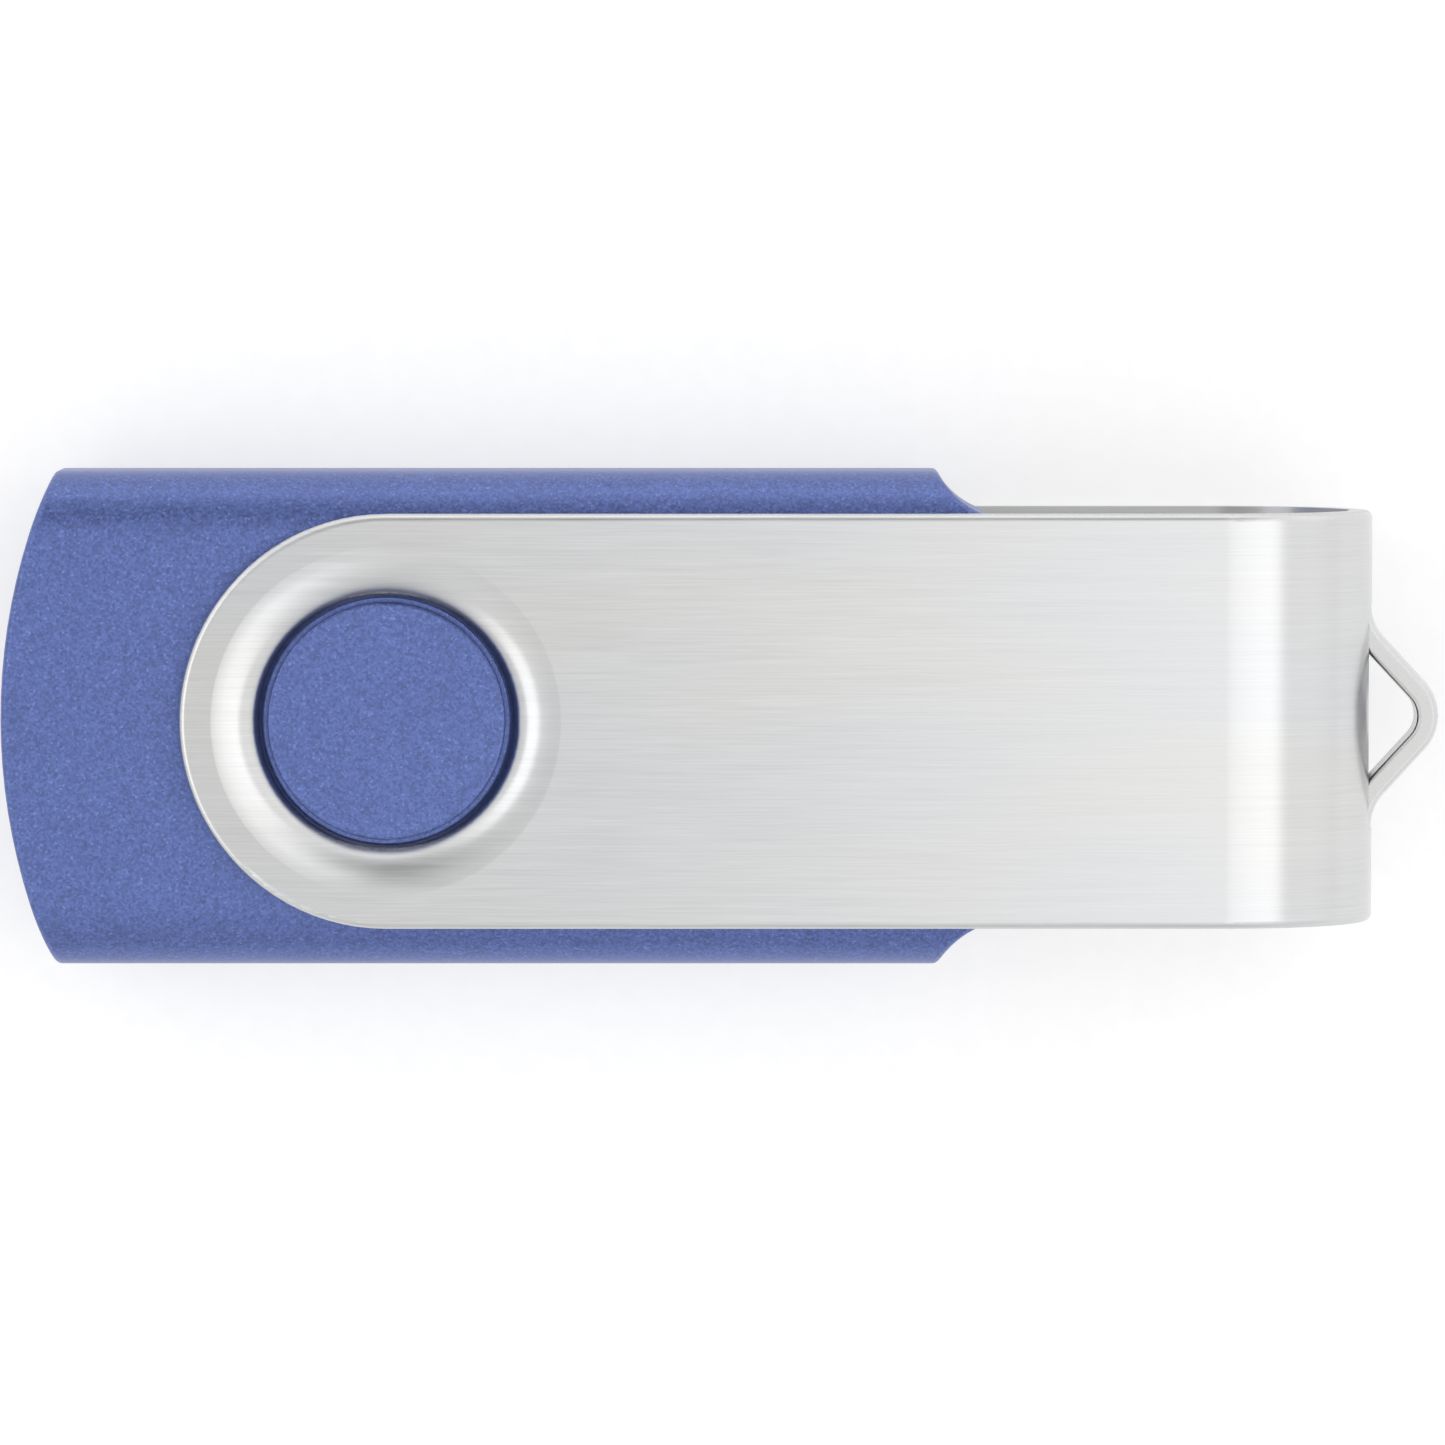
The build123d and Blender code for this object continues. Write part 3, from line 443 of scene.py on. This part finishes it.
def fired_ceramic(name, nodes, colours, roughness):
    """Fired ceramic: sugary grain, slight clouds and chipped lighter edges."""
    m = Material(name, IOR=1.6)
    grain = m.noise(m.stretch(m.mm, (12.0, 12.0, 12.0)), detail=3.0, roughness=0.6)
    cloud = m.noise(m.stretch(m.mm, (1.8, 1.8, 1.8)), detail=2.0)
    edge = m.edges(0.06)
    colour = m.tint(m.span(cloud, *NOISE_WIDE), colours[0], colours[1])
    level = m.span(grain, *NOISE_WIDE, 0.88, 1.12, smooth=False)
    level = m.math("MULTIPLY", level, m.blend(edge, 1.0, 1.15))
    m.set(Base_Color=m.shade(colour, level))
    low, high = roughness
    m.set(Roughness=m.span(grain, *NOISE_WIDE, low, high, smooth=False))
    m.set(Normal=m.bump(grain, 0.005))
    m.dress(*nodes)


def make_materials():
    brushed_aluminium()
    flake_plastic()
    nickel_steel()
    moulded_black(
        "insulator_plastic",
        ("plug_insulator",),
        colours=((0.012, 0.012, 0.013), (0.022, 0.022, 0.024), (0.06, 0.06, 0.062)),
        roughness=(0.34, 0.48),
        grain_mm=0.12,
        depth_mm=0.006,
    )
    moulded_black(
        "chip_epoxy",
        ("flash_chip", "controller_chip", "voltage_regulator"),
        colours=((0.017, 0.017, 0.018), (0.026, 0.026, 0.027), (0.09, 0.09, 0.09)),
        roughness=(0.5, 0.68),
        grain_mm=0.07,
        depth_mm=0.005,
    )
    plated_metal(
        "contact_gold",
        ("vbus_contact", "data_minus_contact", "data_plus_contact", "ground_contact"),
        colours=((0.82, 0.58, 0.23), (0.88, 0.66, 0.31)),
        roughness=(0.18, 0.30),
        stretch=(0.8, 14.0, 14.0),
        depth_mm=0.0012,
    )
    plated_metal(
        "pad_gold",
        ("board_pads",),
        colours=((0.78, 0.56, 0.26), (0.84, 0.64, 0.34)),
        roughness=(0.26, 0.40),
        stretch=(9.0, 9.0, 9.0),
        depth_mm=0.003,
    )
    plated_metal(
        "matte_tin",
        (
            "flash_chip_leads",
            "controller_leads",
            "regulator_leads",
            "capacitor_terminals",
            "resistor_terminals",
        ),
        colours=((0.60, 0.60, 0.59), (0.70, 0.70, 0.68)),
        roughness=(0.34, 0.48),
        stretch=(10.0, 10.0, 10.0),
        depth_mm=0.003,
    )
    plated_metal(
        "solder_alloy",
        ("contact_solder", "leg_solder"),
        colours=((0.58, 0.58, 0.58), (0.69, 0.69, 0.68)),
        roughness=(0.22, 0.38),
        stretch=(4.0, 4.0, 4.0),
        depth_mm=0.012,
    )
    plated_metal(
        "lid_nickel",
        ("crystal_can",),
        colours=((0.62, 0.60, 0.55), (0.68, 0.67, 0.63)),
        roughness=(0.22, 0.32),
        stretch=(1.0, 12.0, 12.0),
        depth_mm=0.0015,
    )
    board_laminate()
    coated_resistor()
    fired_ceramic(
        "capacitor_ceramic",
        ("ceramic_capacitors",),
        colours=((0.36, 0.25, 0.15), (0.46, 0.33, 0.21)),
        roughness=(0.42, 0.6),
    )
    fired_ceramic(
        "crystal_ceramic",
        ("crystal_base",),
        colours=((0.045, 0.04, 0.038), (0.07, 0.064, 0.06)),
        roughness=(0.5, 0.7),
    )


# ---- floor, light and camera ----
def make_floor():
    """A wide pale surface at the height the part lies on."""
    mesh = bpy.data.meshes.new("floor")
    turns = ((-1, -1), (1, -1), (1, 1), (-1, 1))
    corners = [(x * FLOOR_HALF, y * FLOOR_HALF, 0.0) for x, y in turns]
    mesh.from_pydata(corners, [], [(0, 1, 2, 3)])
    floor = bpy.data.objects.new("floor", mesh)
    bpy.context.scene.collection.objects.link(floor)
    m = Material("floor_paper")
    fibre = m.noise(m.stretch(m.mm, (1.2, 1.2, 1.2)), detail=4.0)
    colour = m.tint(m.span(fibre, *NOISE_WIDE), (0.49, 0.49, 0.49), (0.51, 0.51, 0.51))
    m.set(Base_Color=colour, Roughness=0.75)
    m.set(Emission_Color=(1.0, 1.0, 1.0, 1.0), Emission_Strength=FLOOR_GLOW)
    mesh.materials.append(m.material)


def add_panel(name, direction, distance, size, brightness):
    """A soft rectangular light facing the part: size[0] is its extent along Y, size[1] the other."""
    data = bpy.data.lights.new(name, "AREA")
    data.shape = "RECTANGLE"
    data.size, data.size_y = size
    data.energy = brightness * math.pi * size[0] * size[1]
    light = bpy.data.objects.new(name, data)
    away = Vector(direction).normalized()
    light.location = centre + away * distance
    light.rotation_mode = "QUATERNION"
    light.rotation_quaternion = away.to_track_quat("Z", "Y")
    light.visible_camera = False
    bpy.context.scene.collection.objects.link(light)


def make_tent():
    """The tent's own glow, brighter or darker round a few directions."""
    world = bpy.data.worlds.new("tent")
    world.use_nodes = True
    tree = world.node_tree
    tree.nodes.clear()
    direction = tree.nodes.new("ShaderNodeTexCoord").outputs["Generated"]

    def number(operation, a, b):
        made = tree.nodes.new("ShaderNodeMath")
        made.operation = operation
        for socket, value in zip(made.inputs, (a, b)):
            if isinstance(value, bpy.types.NodeSocket):
                tree.links.new(value, socket)
            else:
                socket.default_value = value
        return made.outputs[0]

    total = TENT_BRIGHTNESS
    for way, half_width, change in TENT_LOBES:
        dot = tree.nodes.new("ShaderNodeVectorMath")
        dot.operation = "DOT_PRODUCT"
        tree.links.new(direction, dot.inputs[0])
        dot.inputs[1].default_value = Vector(way).normalized()
        sharpness = math.log(2) / (1 - math.cos(math.radians(half_width)))
        away = number("SUBTRACT", dot.outputs["Value"], 1.0)
        share = number("EXPONENT", number("MULTIPLY", away, sharpness), 0.0)
        total = number("ADD", total, number("MULTIPLY", share, change))
    glow = tree.nodes.new("ShaderNodeBackground")
    tree.links.new(total, glow.inputs["Strength"])
    output = tree.nodes.new("ShaderNodeOutputWorld")
    tree.links.new(glow.outputs["Background"], output.inputs["Surface"])
    bpy.context.scene.world = world


def make_lights():
    make_tent()
    for panel in PANELS:
        add_panel(*panel)


def make_camera():
    data = bpy.data.cameras.new("camera")
    data.sensor_width = SENSOR_WIDTH
    data.lens = SENSOR_WIDTH * CAMERA_DISTANCE / FRAME_WIDTH_AT_TARGET
    data.clip_start, data.clip_end = NEAREST_SEEN, FARTHEST_SEEN
    camera = bpy.data.objects.new("camera", data)
    back = Vector((0.0, math.sin(CAMERA_TILT), math.cos(CAMERA_TILT)))
    camera.location = centre + TARGET_OFFSET + back * CAMERA_DISTANCE
    camera.rotation_euler = (-CAMERA_TILT, 0.0, 0.0)
    bpy.context.scene.collection.objects.link(camera)
    bpy.context.scene.camera = camera


make_materials()
make_floor()
make_lights()
make_camera()
bpy.context.scene.view_settings.view_transform = "Standard"
